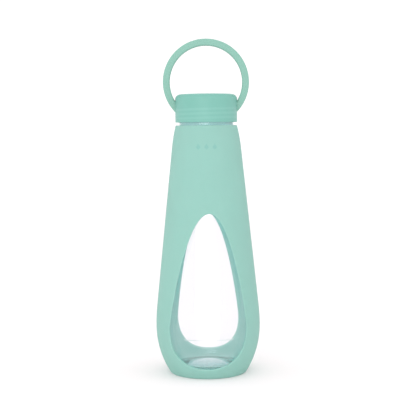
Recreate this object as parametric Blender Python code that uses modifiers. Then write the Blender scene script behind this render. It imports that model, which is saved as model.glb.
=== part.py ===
"""Glass water bottle in a silicone sleeve, with a screw lid and a carry ring.

Metres, +Z up. The origin is the middle of the foot. The windows of the sleeve face -Y and +Y.
"""

import math

import bmesh
import bpy
from mathutils import Vector

MM = 0.001
GAP = 0.3 * MM  # between pieces that touch

# Outer outline of the sleeve: foot arc, belly, hip arc, straight taper, shoulder arc, lip
BELLY_RADIUS = 41.65 * MM
BELLY_HEIGHT = 38.0 * MM
FOOT_ARC = 70.0 * MM
HIP_ARC = 157.0 * MM
SHOULDER_ARC = 126.0 * MM
LIP_STEP = 5.7 * MM  # the lip's outer edge beyond the glass neck
LIP_HEIGHT = 197.9 * MM
LIP_SLOPE = math.radians(14.1)  # how far the outline leans in at the lip
FOOT_HEEL = 1.5 * MM
SLEEVE_WALL = 2.0 * MM

# Teardrop windows, seen along Y; the back one is smaller all round
WINDOW_HALF_WIDTH = 30.0 * MM
WINDOW_BOTTOM = 8.1 * MM
WINDOW_WIDEST = 40.0 * MM
WINDOW_TOP = 129.8 * MM
WINDOW_TIP_HANDLE = 17.9 * MM
WINDOW_SIDE_HANDLE = 6.5 * MM
WINDOW_FULLNESS = 0.64  # of the lower half; 0.55 is an ellipse
BACK_WINDOW_INSET = 4.0 * MM

# Glass
GLASS_WALL = 2.8 * MM
GLASS_HEEL = 4.0 * MM
GLASS_BASE = 5.0 * MM
INNER_HEEL = 9.0 * MM
STANDING_RING = 7.0 * MM  # flat ring that the glass stands on, inside its heel
PUNT_DEPTH = 2.5 * MM
COLLAR_ARC = 4.0 * MM
COLLAR_LEAN = math.radians(70)
INNER_SHOULDER_ARC = 5.0 * MM
INNER_SHOULDER_LEAN = math.radians(60)
INNER_SHOULDER_DROP = 3.0 * MM
NECK_RADIUS = 18.7 * MM
NECK_WALL = 3.0 * MM
RIM_ROUND = 1.2 * MM

# Screw thread
PITCH = 3.4 * MM
THREAD_HEIGHT = 1.1 * MM
NECK_THREAD_ROOT = 1.6 * MM
LID_THREAD_ROOT = 1.2 * MM
THREAD_FLANK = 0.3 * MM  # how much each flank leans
THREAD_CLEARANCE = 0.4 * MM  # crest to root
NECK_THREAD_TURNS = 1.75
LID_THREAD_TURNS = 1.5
NECK_THREAD_START = 6.7 * MM  # above the sleeve's lip
RUN_OUT = math.radians(50)
THREAD_SINK = 0.4 * MM  # how far a ridge reaches into its wall

# Lid
LID_HEIGHT = 22.2 * MM
LID_LIFT = 2.4 * MM  # lid's bottom edge above the sleeve's lip
LID_WALL = 1.6 * MM
LID_TOP = 1.8 * MM
LID_CORNER = 4.0 * MM
LID_EDGE = 0.4 * MM
LINER_WALL = 1.2 * MM
LINER_TOP = 1.2 * MM
LINER_CORNER = 1.0 * MM
LINER_RISE = 0.9 * MM  # liner's bottom edge above the lid's
LINER_FLANGE = 1.5 * MM
GASKET_THICKNESS = 1.5 * MM
GASKET_WIDTH = 4.1 * MM

# Carry ring
RING_OVERHANG = 9.5 * MM  # ring's outer edge beyond the lid's side
RING_BAND = 5.4 * MM
RING_DEPTH = 7.0 * MM
RING_ROUND = 1.2 * MM
RING_PAD = 1.0 * MM
RING_PAD_MARGIN = 1.5 * MM  # pad beyond the ring's section, all round

BODY_STEPS = 40
LID_STEPS = 40
RING_STEPS = 56
CHORD = 0.1 * MM  # how far an arc's straight runs may stray from it

# Sizes that follow from those above
LIP_RADIUS = NECK_RADIUS + LIP_STEP
GLASS_INSET = SLEEVE_WALL + GAP
GLASS_FOOT = SLEEVE_WALL + GAP
GLASS_FLOOR = GLASS_FOOT + GLASS_BASE
THREAD_CREST = NECK_RADIUS + THREAD_HEIGHT
LINER_ROOT = THREAD_CREST + THREAD_CLEARANCE
LINER_RADIUS = LINER_ROOT + LINER_WALL
PAD_BORE = LINER_RADIUS + GAP
PAD_RADIUS = PAD_BORE + RING_PAD
SHELL_BORE = PAD_RADIUS + GAP
LID_RADIUS = SHELL_BORE + LID_WALL
LID_BOTTOM = LIP_HEIGHT + LID_LIFT
LID_CROWN = LID_BOTTOM + LID_HEIGHT
SHELL_CORNER = LID_CORNER - LID_WALL
SHELL_CEILING = LID_CROWN - LID_TOP
LINER_CROWN = SHELL_CEILING - GAP
LINER_BOTTOM = LID_BOTTOM + LINER_RISE
GASKET_CROWN = LINER_CROWN - LINER_TOP - GAP
RIM_HEIGHT = GASKET_CROWN - GASKET_THICKNESS - GAP
RING_RADIUS = LID_RADIUS + RING_OVERHANG
RING_BORE = RING_RADIUS - RING_BAND
# The ring's feet are centred in the wall's height between the insert's flange and the shell's corner
RING_FOOT = (LINER_BOTTOM + LINER_FLANGE + SHELL_CEILING - SHELL_CORNER) / 2
FOOT_DROPS = [math.sqrt(r**2 - PAD_RADIUS**2) for r in (RING_RADIUS, RING_BORE)]
RING_CENTRE = RING_FOOT + sum(FOOT_DROPS) / 2


def srgb(red, green, blue):
    """An sRGB colour of 0-255 as the linear colour that a shader takes."""
    return [((c / 255 + 0.055) / 1.055) ** 2.4 for c in (red, green, blue)] + [1.0]


def material(name, colour, roughness, metallic=0.0, transmission=0.0):
    made = bpy.data.materials.new(name)
    made.use_nodes = True
    shader = made.node_tree.nodes["Principled BSDF"]
    shader.inputs["Base Color"].default_value = colour
    shader.inputs["Roughness"].default_value = roughness
    shader.inputs["Metallic"].default_value = metallic
    shader.inputs["Transmission Weight"].default_value = transmission
    made.diffuse_color = colour
    return made


def arc(centre, radius, start, end):
    """Points of an arc in the (radius, height) plane, from one angle to the other."""
    count = max(2, math.ceil(abs(end - start) / (2 * math.sqrt(2 * CHORD / radius))))
    angles = [start + (end - start) * i / count for i in range(count + 1)]
    return [(centre[0] + radius * math.cos(a), centre[1] + radius * math.sin(a)) for a in angles]


def taper_angle(hip_centre, shoulder_centre):
    """The lean of the straight that is tangent to the hip arc and the shoulder arc."""
    across = shoulder_centre[0] - hip_centre[0]
    up = shoulder_centre[1] - hip_centre[1]
    return math.atan2(up, across) - math.acos((HIP_ARC - SHOULDER_ARC) / math.hypot(across, up))


def side_outline(inset, foot, heel, top):
    """The bottle's side from heel to top, a given distance inside the sleeve's outer face.

    Returns its points, bottom first, and the outline's lean at the top.
    """
    foot_centre = (BELLY_RADIUS - FOOT_ARC, BELLY_HEIGHT)
    hip_centre = (BELLY_RADIUS - HIP_ARC, BELLY_HEIGHT)
    shoulder_centre = (
        LIP_RADIUS - SHOULDER_ARC * math.cos(LIP_SLOPE),
        LIP_HEIGHT - SHOULDER_ARC * math.sin(LIP_SLOPE),
    )
    reach = FOOT_ARC - inset - heel
    drop = BELLY_HEIGHT - foot - heel
    heel_centre = (foot_centre[0] + math.sqrt(reach**2 - drop**2), foot + heel)
    heel_end = -math.asin(drop / reach)
    taper = taper_angle(hip_centre, shoulder_centre)
    lean = math.asin((top - shoulder_centre[1]) / (SHOULDER_ARC - inset))
    points = arc(heel_centre, heel, -math.pi / 2, heel_end)
    points += arc(foot_centre, FOOT_ARC - inset, heel_end, 0)[1:]
    points += arc(hip_centre, HIP_ARC - inset, 0, taper)[1:]
    points += arc(shoulder_centre, SHOULDER_ARC - inset, taper, lean)
    return points, lean


def into_neck(start, lean, radius, turned, neck_radius):
    """A shoulder that rounds over from a lean to a turned angle, then fillets up into a straight neck."""
    centre = (start[0] - radius * math.cos(lean), start[1] - radius * math.sin(lean))
    points = arc(centre, radius, lean, turned)[1:]
    last = points[-1]
    fillet = (last[0] - neck_radius) / (1 - math.cos(turned))
    fillet_centre = (last[0] + fillet * math.cos(turned), last[1] + fillet * math.sin(turned))
    return points + arc(fillet_centre, fillet, math.pi + turned, math.pi)[1:]


def new_object(name, mesh, collection):
    made = bpy.data.objects.new(name, mesh)
    collection.objects.link(made)
    return made


def turned(name, profile, steps, collection, closed=False):
    """A body turned about Z from a profile of (radius, height) points that runs down its outer side."""
    mesh = bpy.data.meshes.new(name)
    ends = [(i, i + 1) for i in range(len(profile) - 1)]
    if closed:
        ends.append((len(profile) - 1, 0))
    mesh.from_pydata([(r, 0, z) for r, z in profile], ends, [])
    made = new_object(name, mesh, collection)
    screw = made.modifiers.new("Turn", "SCREW")
    screw.steps = steps
    screw.render_steps = steps
    screw.use_merge_vertices = True
    screw.merge_threshold = 0.00001
    screw.use_smooth_shade = True
    return made


def boolean(target, other, operation):
    cut = target.modifiers.new(operation.title() + " " + other.name, "BOOLEAN")
    cut.operation = operation
    cut.object = other


def as_helper(obj):
    obj.hide_render = True
    obj.display_type = "WIRE"
    return obj


def rounded_box(low, high, corner):
    """A closed profile of a rectangle with rounded corners, run clockwise so that its outer side goes down."""
    points = []
    for across, up, start in ((1, 1, 90), (1, 0, 0), (0, 0, -90), (0, 1, -180)):
        centre = (
            high[0] - corner if across else low[0] + corner,
            high[1] - corner if up else low[1] + corner,
        )
        points += arc(centre, corner, math.radians(start), math.radians(start - 90))
    return points


def thread_ridge(name, wall, outward, root_width, start_height, turns, collection):
    """One helical thread ridge on a wall of the given radius, running out at both ends."""
    total = turns * 2 * math.pi
    count = round(turns * LID_STEPS)
    bm = bmesh.new()
    loops = []
    for i in range(count + 1):
        angle = total * i / count
        grown = min(1, angle / RUN_OUT, (total - angle) / RUN_OUT)
        height = start_height + PITCH * angle / (2 * math.pi)
        crest = wall + outward * ((THREAD_HEIGHT + THREAD_SINK / 2) * grown - THREAD_SINK / 2)
        root = wall - outward * THREAD_SINK
        half_root = root_width / 2
        half_crest = half_root - THREAD_FLANK
        section = [(root, -half_root), (crest, -half_crest), (crest, half_crest), (root, half_root)]
        turn = Vector((math.cos(angle), math.sin(angle), 0))
        loops.append([bm.verts.new(turn * r + Vector((0, 0, height + z))) for r, z in section])
    for first, second in zip(loops, loops[1:]):
        for j in range(4):
            k = (j + 1) % 4
            bm.faces.new((first[j], first[k], second[k], second[j]))
    bm.faces.new(loops[0])
    bm.faces.new(reversed(loops[-1]))
    bmesh.ops.recalc_face_normals(bm, faces=bm.faces)
    mesh = bpy.data.meshes.new(name)
    bm.to_mesh(mesh)
    bm.free()
    return as_helper(new_object(name, mesh, collection))


def block(name, size, centre, collection):
    bm = bmesh.new()
    bmesh.ops.create_cube(bm, size=1)
    bmesh.ops.scale(bm, vec=size, verts=bm.verts)
    bmesh.ops.translate(bm, vec=centre, verts=bm.verts)
    mesh = bpy.data.meshes.new(name)
    bm.to_mesh(mesh)
    bm.free()
    return as_helper(new_object(name, mesh, collection))


def teardrop(name, inset, near, far, collection):
    """A window's cutter: a teardrop outline in the XZ plane, from one Y to another."""
    half = WINDOW_HALF_WIDTH - inset
    top = WINDOW_TOP - inset
    bottom = WINDOW_BOTTOM + inset
    side_low = (WINDOW_WIDEST - bottom) * WINDOW_FULLNESS
    foot_handle = half * WINDOW_FULLNESS
    points = [
        ((0, top), (-WINDOW_TIP_HANDLE, 0), (WINDOW_TIP_HANDLE, 0)),
        ((half, WINDOW_WIDEST), (0, WINDOW_SIDE_HANDLE), (0, -side_low)),
        ((0, bottom), (foot_handle, 0), (-foot_handle, 0)),
        ((-half, WINDOW_WIDEST), (0, -side_low), (0, WINDOW_SIDE_HANDLE)),
    ]
    curve = bpy.data.curves.new(name, "CURVE")
    curve.dimensions = "2D"
    curve.fill_mode = "BOTH"
    curve.extrude = abs(far - near) / 2
    curve.resolution_u = 10
    spline = curve.splines.new("BEZIER")
    spline.bezier_points.add(len(points) - 1)
    spline.use_cyclic_u = True
    for target, (at, left, right) in zip(spline.bezier_points, points):
        target.handle_left_type = "FREE"
        target.handle_right_type = "FREE"
        target.co = (at[0], at[1], 0)
        target.handle_left = (at[0] + left[0], at[1] + left[1], 0)
        target.handle_right = (at[0] + right[0], at[1] + right[1], 0)
    outline = new_object(name + "_outline", curve, collection)
    outline.rotation_euler = (math.pi / 2, 0, 0)
    outline.location = (0, (near + far) / 2, 0)
    return as_helper(as_mesh(outline, name, collection))


def as_mesh(obj, name, collection):
    """A curve object remade as a welded mesh object in the same place."""
    bpy.context.view_layer.update()
    graph = bpy.context.evaluated_depsgraph_get()
    mesh = bpy.data.meshes.new_from_object(obj.evaluated_get(graph))
    bm = bmesh.new()
    bm.from_mesh(mesh)
    bmesh.ops.remove_doubles(bm, verts=bm.verts, dist=0.000001)
    bmesh.ops.recalc_face_normals(bm, faces=bm.faces)
    bm.to_mesh(mesh)
    bm.free()
    made = new_object(name, mesh, collection)
    made.matrix_world = obj.matrix_world.copy()
    bpy.data.objects.remove(obj)
    return made


def make_glass(parts, cutters):
    """Bottle glass: inner floor and wall, rounded rim, threaded neck, collar, side, heel and punt."""
    bore = NECK_RADIUS - NECK_WALL
    inner, lean = side_outline(
        GLASS_INSET + GLASS_WALL, GLASS_FLOOR, INNER_HEEL, LIP_HEIGHT - INNER_SHOULDER_DROP
    )
    inner += into_neck(inner[-1], lean, INNER_SHOULDER_ARC, INNER_SHOULDER_LEAN, bore)
    outer, lean = side_outline(GLASS_INSET, GLASS_FOOT, GLASS_HEEL, LIP_HEIGHT)
    outer += into_neck(outer[-1], lean, COLLAR_ARC, COLLAR_LEAN, NECK_RADIUS)
    rim_inner = (bore + RIM_ROUND, RIM_HEIGHT - RIM_ROUND)
    rim_outer = (NECK_RADIUS - RIM_ROUND, RIM_HEIGHT - RIM_ROUND)
    rim = arc(rim_inner, RIM_ROUND, math.pi, math.pi / 2) + arc(rim_outer, RIM_ROUND, math.pi / 2, 0)
    punt_radius = outer[0][0] - STANDING_RING
    dome_radius = (punt_radius**2 + PUNT_DEPTH**2) / (2 * PUNT_DEPTH)
    dome_centre = (0, GLASS_FOOT + PUNT_DEPTH - dome_radius)
    punt = arc(dome_centre, dome_radius, math.acos(punt_radius / dome_radius), math.pi / 2)
    profile = [(0, GLASS_FLOOR)] + inner + rim + outer[::-1] + punt[:-1] + [(0, GLASS_FOOT + PUNT_DEPTH)]
    glass = turned("glass_bottle", profile, BODY_STEPS, parts)
    ridge = thread_ridge(
        "neck_thread",
        NECK_RADIUS,
        1,
        NECK_THREAD_ROOT,
        LIP_HEIGHT + NECK_THREAD_START,
        NECK_THREAD_TURNS,
        cutters,
    )
    boolean(glass, ridge, "UNION")
    return glass


def make_sleeve(parts, cutters):
    """Silicone sleeve: a closed cup with a flat lip, cut by the front and the back window."""
    inner, _ = side_outline(SLEEVE_WALL, SLEEVE_WALL, GLASS_HEEL + GAP, LIP_HEIGHT)
    outer, _ = side_outline(0, 0, FOOT_HEEL, LIP_HEIGHT)
    profile = [(0, SLEEVE_WALL)] + inner + outer[::-1] + [(0, 0)]
    sleeve = turned("silicone_sleeve", profile, BODY_STEPS, parts)
    beyond = BELLY_RADIUS * 1.3
    middle = BELLY_RADIUS * 0.1
    front = teardrop("front_window", 0, -beyond, -middle, cutters)
    back = teardrop("back_window", BACK_WINDOW_INSET, middle, beyond, cutters)
    boolean(sleeve, front, "DIFFERENCE")
    boolean(sleeve, back, "DIFFERENCE")
    return sleeve


def ring_band(name, margin, collection):
    """The carry ring's full band, grown by a margin all round."""
    low = (RING_BORE - margin, -RING_DEPTH / 2 - margin)
    high = (RING_RADIUS + margin, RING_DEPTH / 2 + margin)
    band = turned(name, rounded_box(low, high, RING_ROUND + margin), RING_STEPS, collection, closed=True)
    band.rotation_euler = (math.pi / 2, 0, 0)
    band.location = (0, 0, RING_CENTRE)
    return band


def make_ring(parts, cutters):
    """Carry ring: the band outside the lid's wall, with a curved pad behind the wall at each foot."""
    ring = ring_band("carry_ring", 0, parts)
    middle = (PAD_BORE + PAD_RADIUS) / 2
    inside = [(0, RING_CENTRE), (middle, RING_CENTRE), (middle, 0), (0, 0)]
    boolean(ring, as_helper(turned("lid_space", inside, LID_STEPS, cutters)), "DIFFERENCE")
    low = RING_CENTRE - FOOT_DROPS[0] - RING_PAD_MARGIN
    high = RING_CENTRE - FOOT_DROPS[1] + RING_PAD_MARGIN
    width = RING_DEPTH + 2 * RING_PAD_MARGIN
    for side in (-1, 1):
        profile = [(PAD_BORE, high), (PAD_RADIUS, high), (PAD_RADIUS, low), (PAD_BORE, low)]
        pad = as_helper(turned(f"foot_pad_{side:+d}", profile, LID_STEPS, cutters, closed=True))
        near = block(
            f"foot_cut_{side:+d}",
            (LID_RADIUS, width, 2 * LID_HEIGHT),
            (side * (LID_RADIUS + PAD_BORE) / 2, 0, RING_FOOT),
            cutters,
        )
        boolean(pad, near, "INTERSECT")
        boolean(ring, pad, "UNION")
    return ring


def make_lid_shell(parts, cutters):
    """Lid shell: a turned cap with rounded shoulders, slotted at both sides for the ring's feet."""
    inner = [(SHELL_BORE, LID_BOTTOM)]
    corner_centre = (SHELL_BORE - SHELL_CORNER, SHELL_CEILING - SHELL_CORNER)
    inner += arc(corner_centre, SHELL_CORNER, 0, math.pi / 2)
    outer = arc((LID_RADIUS - LID_CORNER, LID_CROWN - LID_CORNER), LID_CORNER, math.pi / 2, 0)
    outer += arc((LID_RADIUS - LID_EDGE, LID_BOTTOM + LID_EDGE), LID_EDGE, 0, -math.pi / 2)
    profile = [(0, LID_CROWN)] + outer + inner + [(0, SHELL_CEILING)]
    shell = turned("lid_shell", profile, LID_STEPS, parts)
    boolean(shell, as_helper(ring_band("ring_slot", GAP, cutters)), "DIFFERENCE")
    return shell


def make_liner(parts, cutters):
    """Threaded insert: a cup with a flange at its open end and a thread ridge inside."""
    corner_centre = (LINER_RADIUS - LINER_CORNER, LINER_CROWN - LINER_CORNER)
    profile = [(0, LINER_CROWN)] + arc(corner_centre, LINER_CORNER, math.pi / 2, 0)
    profile += [
        (LINER_RADIUS, LINER_BOTTOM + LINER_FLANGE),
        (PAD_RADIUS, LINER_BOTTOM + LINER_FLANGE),
        (PAD_RADIUS, LINER_BOTTOM),
        (LINER_ROOT, LINER_BOTTOM),
        (LINER_ROOT, LINER_CROWN - LINER_TOP),
        (0, LINER_CROWN - LINER_TOP),
    ]
    liner = turned("lid_liner", profile, LID_STEPS, parts)
    ridge = thread_ridge(
        "lid_thread",
        LINER_ROOT,
        -1,
        LID_THREAD_ROOT,
        LIP_HEIGHT + NECK_THREAD_START - PITCH / 2,
        LID_THREAD_TURNS,
        cutters,
    )
    boolean(liner, ridge, "UNION")
    return liner


def make_gasket(parts):
    outer = LINER_ROOT - GAP
    low = (outer - GASKET_WIDTH, GASKET_CROWN - GASKET_THICKNESS)
    high = (outer, GASKET_CROWN)
    corners = [(low[0], high[1]), high, (high[0], low[1]), low]
    return turned("lid_gasket", corners, LID_STEPS, parts, closed=True)


def main():
    for obj in list(bpy.data.objects):
        bpy.data.objects.remove(obj, do_unlink=True)
    parts = bpy.data.collections.new("glass_water_bottle")
    cutters = bpy.data.collections.new("cutters")
    bpy.context.scene.collection.children.link(parts)
    bpy.context.scene.collection.children.link(cutters)

    glass = material("clear_glass", srgb(214, 236, 236), 0.03, transmission=1.0)
    silicone = material("mint_silicone", srgb(160, 207, 197), 0.55)
    shell_plastic = material("mint_lid_plastic", srgb(146, 203, 190), 0.35)
    liner_plastic = material("liner_plastic", srgb(134, 192, 180), 0.4)
    ring_plastic = material("mint_ring_plastic", srgb(150, 203, 188), 0.38)
    seal = material("seal_silicone", srgb(226, 234, 232), 0.6)

    make_glass(parts, cutters).data.materials.append(glass)
    make_sleeve(parts, cutters).data.materials.append(silicone)
    make_ring(parts, cutters).data.materials.append(ring_plastic)
    make_lid_shell(parts, cutters).data.materials.append(shell_plastic)
    make_liner(parts, cutters).data.materials.append(liner_plastic)
    make_gasket(parts).data.materials.append(seal)


main()
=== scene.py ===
import math

import bmesh
import bpy
import numpy as np
from mathutils import Matrix, Vector


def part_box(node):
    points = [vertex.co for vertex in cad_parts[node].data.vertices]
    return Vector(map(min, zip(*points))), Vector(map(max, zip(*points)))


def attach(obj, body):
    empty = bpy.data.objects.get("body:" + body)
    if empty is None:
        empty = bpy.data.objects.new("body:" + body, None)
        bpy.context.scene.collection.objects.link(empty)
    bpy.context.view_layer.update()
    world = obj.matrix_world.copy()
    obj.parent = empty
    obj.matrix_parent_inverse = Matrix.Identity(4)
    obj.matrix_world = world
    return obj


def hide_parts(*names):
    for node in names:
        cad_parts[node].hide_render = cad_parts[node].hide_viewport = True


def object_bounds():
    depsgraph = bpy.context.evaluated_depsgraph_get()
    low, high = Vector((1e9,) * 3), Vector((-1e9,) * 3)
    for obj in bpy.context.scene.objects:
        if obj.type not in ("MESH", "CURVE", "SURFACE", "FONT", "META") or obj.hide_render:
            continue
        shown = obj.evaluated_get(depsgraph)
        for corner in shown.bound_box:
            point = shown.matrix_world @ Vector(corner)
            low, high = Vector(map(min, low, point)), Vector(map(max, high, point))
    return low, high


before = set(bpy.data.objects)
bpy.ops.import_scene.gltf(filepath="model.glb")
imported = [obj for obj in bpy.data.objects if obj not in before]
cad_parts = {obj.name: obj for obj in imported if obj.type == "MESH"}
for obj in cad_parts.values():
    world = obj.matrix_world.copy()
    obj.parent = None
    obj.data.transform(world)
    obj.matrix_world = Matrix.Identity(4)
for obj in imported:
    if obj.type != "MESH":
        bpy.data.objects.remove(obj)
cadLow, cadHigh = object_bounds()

mm = 0.001
tiny = 1e-7  # shorter lengths than this count as nothing

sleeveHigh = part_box("silicone_sleeve")[1]
glassLow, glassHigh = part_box("glass_bottle")
shellLow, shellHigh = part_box("lid_shell")
linerLow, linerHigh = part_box("lid_liner")
gasketLow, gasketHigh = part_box("lid_gasket")
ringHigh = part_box("carry_ring")[1]

# The outline that the sleeve and the glass share, from the foot up to the lip
bottleForm = {
    "bellyRadius": sleeveHigh.x,
    "bellyHeight": 38.0 * mm,
    "footArc": 70.0 * mm,
    "hipArc": 157.0 * mm,
    "shoulderArc": 126.0 * mm,
    "lipRadius": 24.4 * mm,
    "lipHeight": sleeveHigh.z,
    "lipSlope": math.radians(14.1),
    "sleeveWall": 2.0 * mm,
    "gap": 0.3 * mm,
}


cameraView = {
    "lens": 91.04,
    "sensor": 36.0,
    "distance": 842 * mm,
    "pitch": math.radians(4.24),
    "roll": math.radians(-0.52),
    "aim": Vector((0.75 * mm, 0, 131.9 * mm)),
    "nearest": 0.01,
    "farthest": 50,
}


def makeCamera():
    view = cameraView
    data = bpy.data.cameras.new("studioCamera")
    data.lens = view["lens"]
    data.sensor_width = view["sensor"]
    data.clip_start = view["nearest"]
    data.clip_end = view["farthest"]
    camera = bpy.data.objects.new("studioCamera", data)
    bpy.context.scene.collection.objects.link(camera)
    back = Vector((0, -math.cos(view["pitch"]), math.sin(view["pitch"])))
    turn = (-back).to_track_quat("-Z", "Y").to_matrix().to_4x4()
    place = Matrix.Translation(view["aim"] + back * view["distance"])
    camera.matrix_world = place @ turn @ Matrix.Rotation(view["roll"], 4, "Z")
    bpy.context.scene.camera = camera


studio = {
    "surround": 1.12,
    "floorColour": (0.86, 0.81, 0.82),
    "floorGlow": 0.12,
    "floorSize": 6.0,
    "floorCells": 24,
    "floorRoughness": 0.9,
    "floorShine": 0.1,
    "keyPower": 12.0,
    "keySize": 1.4,
    "keyPlace": Vector((-0.35, -1.8, 0.3)),
}


def makeStudio():
    scene = bpy.context.scene
    world = bpy.data.worlds.new("studioWorld")
    world.use_nodes = True
    background = world.node_tree.nodes["Background"]
    background.inputs["Color"].default_value = (1, 1, 1, 1)
    background.inputs["Strength"].default_value = studio["surround"]
    scene.world = world
    scene.view_settings.view_transform = "Standard"

    light = bpy.data.lights.new("keyLight", "AREA")
    light.shape = "DISK"
    light.size = studio["keySize"]
    light.energy = studio["keyPower"]
    key = bpy.data.objects.new("keyLight", light)
    scene.collection.objects.link(key)
    key.location = studio["keyPlace"]
    aim = Vector((0, 0, cadHigh.z / 2)) - key.location
    key.rotation_euler = aim.to_track_quat("-Z", "Y").to_euler()

    bm = bmesh.new()
    cells = studio["floorCells"]
    bmesh.ops.create_grid(bm, x_segments=cells, y_segments=cells, size=studio["floorSize"] / 2)
    mesh = bpy.data.meshes.new("studioFloor")
    bm.to_mesh(mesh)
    bm.free()
    floor = bpy.data.objects.new("studioFloor", mesh)
    scene.collection.objects.link(floor)
    paper = bpy.data.materials.new("studioPaper")
    paper.use_nodes = True
    shader = paper.node_tree.nodes["Principled BSDF"]
    shader.inputs["Base Color"].default_value = (*studio["floorColour"], 1)
    shader.inputs["Roughness"].default_value = studio["floorRoughness"]
    shader.inputs["Specular IOR Level"].default_value = studio["floorShine"]
    shader.inputs["Emission Color"].default_value = (1, 1, 1, 1)
    shader.inputs["Emission Strength"].default_value = studio["floorGlow"]
    mesh.materials.append(paper)


makeCamera()
makeStudio()
print("camera and studio ready")


def arcPoints(centre, radius, start, end, count):
    # points of an arc in the (radius, height) plane
    angles = [start + (end - start) * i / count for i in range(count + 1)]
    return [(centre[0] + radius * math.cos(a), centre[1] + radius * math.sin(a)) for a in angles]


def linePoints(start, end, count):
    return [
        (start[0] + (end[0] - start[0]) * i / count, start[1] + (end[1] - start[1]) * i / count)
        for i in range(count + 1)
    ]


def bezierPoints(a, b, c, d, count):
    made = []
    for i in range(count + 1):
        t = i / count
        w = ((1 - t) ** 3, 3 * (1 - t) ** 2 * t, 3 * (1 - t) * t * t, t**3)
        corners = zip(a, b, c, d)
        made.append(tuple(w[0] * p + w[1] * q + w[2] * r + w[3] * s for p, q, r, s in corners))
    return made


outlineCounts = {"heel": 8, "foot": 26, "hip": 10, "straight": 60, "shoulder": 12}


def sideOutline(inset, foot, heel, top):
    # the bottle's side, a given distance inside the sleeve's outer face and bottom first,
    # and how far it leans at the top
    form = bottleForm
    counts = outlineCounts
    footCentre = (form["bellyRadius"] - form["footArc"], form["bellyHeight"])
    hipCentre = (form["bellyRadius"] - form["hipArc"], form["bellyHeight"])
    shoulderCentre = (
        form["lipRadius"] - form["shoulderArc"] * math.cos(form["lipSlope"]),
        form["lipHeight"] - form["shoulderArc"] * math.sin(form["lipSlope"]),
    )
    reach = form["footArc"] - inset - heel
    drop = form["bellyHeight"] - foot - heel
    heelCentre = (footCentre[0] + math.sqrt(reach**2 - drop**2), foot + heel)
    heelEnd = -math.asin(drop / reach)
    across = shoulderCentre[0] - hipCentre[0]
    up = shoulderCentre[1] - hipCentre[1]
    spread = math.acos((form["hipArc"] - form["shoulderArc"]) / math.hypot(across, up))
    taper = math.atan2(up, across) - spread
    lean = math.asin((top - shoulderCentre[1]) / (form["shoulderArc"] - inset))
    points = arcPoints(heelCentre, heel, -math.pi / 2, heelEnd, counts["heel"])
    points += arcPoints(footCentre, form["footArc"] - inset, heelEnd, 0, counts["foot"])[1:]
    points += arcPoints(hipCentre, form["hipArc"] - inset, 0, taper, counts["hip"])[1:]
    shoulderRadius = form["shoulderArc"] - inset
    shoulder = arcPoints(shoulderCentre, shoulderRadius, taper, lean, counts["shoulder"])
    points += linePoints(points[-1], shoulder[0], counts["straight"])[1:]
    return points + shoulder[1:], lean


def finishMesh(bm, name):
    bmesh.ops.recalc_face_normals(bm, faces=bm.faces)
    mesh = bpy.data.meshes.new(name)
    bm.to_mesh(mesh)
    bm.free()
    mesh.shade_smooth()
    made = bpy.data.objects.new(name, mesh)
    bpy.context.scene.collection.objects.link(made)
    return made


def turnedPiece(name, profile, steps, closed=False, shift=None):
    # a body turned about Z from (radius, height) points, where
    # shift(angle, radius, height) is what each point's radius changes by
    bm = bmesh.new()
    rings = []
    for radius, height in profile:
        if radius < tiny:
            rings.append([bm.verts.new((0, 0, height))] * steps)
            continue
        ring = []
        for i in range(steps):
            angle = 2 * math.pi * i / steps
            r = radius + (shift(angle, radius, height) if shift else 0)
            ring.append(bm.verts.new((r * math.cos(angle), r * math.sin(angle), height)))
        rings.append(ring)
    pairs = list(zip(rings, rings[1:]))
    if closed:
        pairs.append((rings[-1], rings[0]))
    for first, second in pairs:
        for i in range(steps):
            j = (i + 1) % steps
            corners = []
            for vert in (first[i], first[j], second[j], second[i]):
                if vert not in corners:
                    corners.append(vert)
            if len(corners) > 2:
                bm.faces.new(corners)
    return finishMesh(bm, name)


def roundedSection(low, high, corner, count):
    points = []
    for right, up, start in ((1, 1, 90), (1, 0, 0), (0, 0, -90), (0, 1, -180)):
        centre = (
            high[0] - corner if right else low[0] + corner,
            high[1] - corner if up else low[1] + corner,
        )
        points += arcPoints(centre, corner, math.radians(start), math.radians(start - 90), count)
    return points


def applyBoolean(target, other, operation):
    cut = target.modifiers.new("cut", "BOOLEAN")
    cut.operation = operation
    cut.solver = "EXACT"
    cut.object = other
    bpy.context.view_layer.update()
    graph = bpy.context.evaluated_depsgraph_get()
    mesh = bpy.data.meshes.new_from_object(target.evaluated_get(graph))
    target.modifiers.clear()
    target.data = mesh
    bpy.data.objects.remove(other)


def threadRise(thread, angle, height):
    # how far the screw thread stands out of its wall, with run-outs at both ends
    total = thread["turns"] * 2 * math.pi
    best = 0.0
    for wrap in range(math.ceil(thread["turns"])):
        along = angle + 2 * math.pi * wrap
        if along > total:
            continue
        away = abs(height - thread["start"] - thread["pitch"] * along / (2 * math.pi))
        grown = min(1, along / thread["runOut"], (total - along) / thread["runOut"])
        flank = min(1, max(0, (thread["root"] / 2 - away) / thread["flank"]))
        rounded = flank * flank * (3 - 2 * flank)
        best = max(best, rounded * math.sin(grown * math.pi / 2))
    return best * thread["height"]


screwThread = {
    "pitch": 3.4 * mm,
    "height": 1.1 * mm,
    "start": sleeveHigh.z + 6.7 * mm,
    "runOut": math.radians(50),
}
neckThread = dict(screwThread, turns=1.75, root=1.6 * mm, flank=0.5 * mm)
linerThread = dict(screwThread, turns=1.5, root=1.2 * mm, flank=0.4 * mm)
linerThread["start"] -= screwThread["pitch"] / 2


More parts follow.
